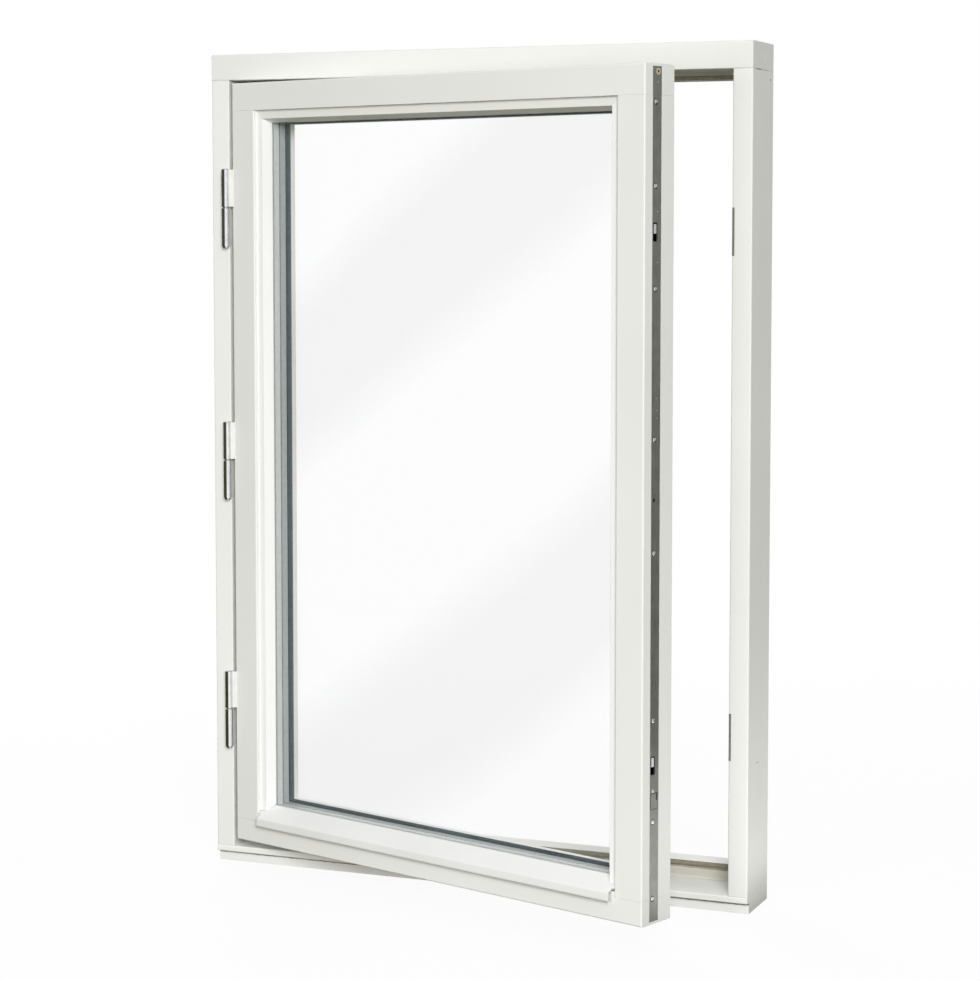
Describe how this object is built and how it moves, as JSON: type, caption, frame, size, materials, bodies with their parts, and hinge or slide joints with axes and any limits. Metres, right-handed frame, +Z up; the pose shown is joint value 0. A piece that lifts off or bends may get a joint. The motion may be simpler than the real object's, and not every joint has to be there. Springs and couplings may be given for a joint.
{
  "type": "side-hung casement window",
  "caption": "White painted timber casement window, hinged at the left and standing ajar outwards, with triple glass and an edge lock plate",
  "frame": {"origin": "middle of the underside of the sill", "axes": "+X to the lock side seen from outside, +Y into the room, +Z up"},
  "size_m": [0.88, 0.3595, 1.28],
  "materials": {
    "white_timber": "satin white paint on pine",
    "white_drip_metal": "white powder coat",
    "clear_glass": "clear float glass",
    "spacer_bar": "satin grey spacer bar",
    "black_rubber": "matt dark weather seal",
    "grey_rubber": "pale grey glazing tape",
    "bright_zinc": "bright zinc plate",
    "satin_steel": "satin grey steel",
    "brass": "pale brass",
    "white_handle": "white enamel"
  },
  "bodies": {
    "frame": {"frame_sill": "white_timber", "frame_head": "white_timber", "frame_hinge_jamb": "white_timber", "frame_lock_jamb": "white_timber", "frame_seal": "black_rubber", "upper_striker_plate": "satin_steel", "lower_striker_plate": "satin_steel", "top_hinge_frame_leaf": "bright_zinc", "middle_hinge_frame_leaf": "bright_zinc", "bottom_hinge_frame_leaf": "bright_zinc"},
    "sash": {"sash_top_rail": "white_timber", "sash_bottom_rail": "white_timber", "sash_hinge_stile": "white_timber", "sash_lock_stile": "white_timber", "top_glazing_bead": "white_timber", "hinge_side_glazing_bead": "white_timber", "lock_side_glazing_bead": "white_timber", "bottom_drip_bead": "white_drip_metal", "outer_pane": "clear_glass", "middle_pane": "clear_glass", "inner_pane": "clear_glass", "outer_spacer": "spacer_bar", "inner_spacer": "spacer_bar", "outer_glazing_seal": "grey_rubber", "inner_glazing_gasket": "black_rubber", "espagnolette_faceplate": "satin_steel", "upper_hook_bolt": "satin_steel", "lower_hook_bolt": "satin_steel", "faceplate_bush": "brass", "top_hinge_sash_leaf": "bright_zinc", "middle_hinge_sash_leaf": "bright_zinc", "bottom_hinge_sash_leaf": "bright_zinc", "handle_rose": "white_handle", "handle_neck": "white_handle", "handle_lever": "white_handle"}
  },
  "joints": [
    {"name": "sash_swing", "type": "hinge", "parent": "frame", "child": "sash", "pos_m": [-0.414, -0.0595, 0.6455], "axis": [0, 0, -1], "range_deg": [-18.2, 71.8]}
  ]
}
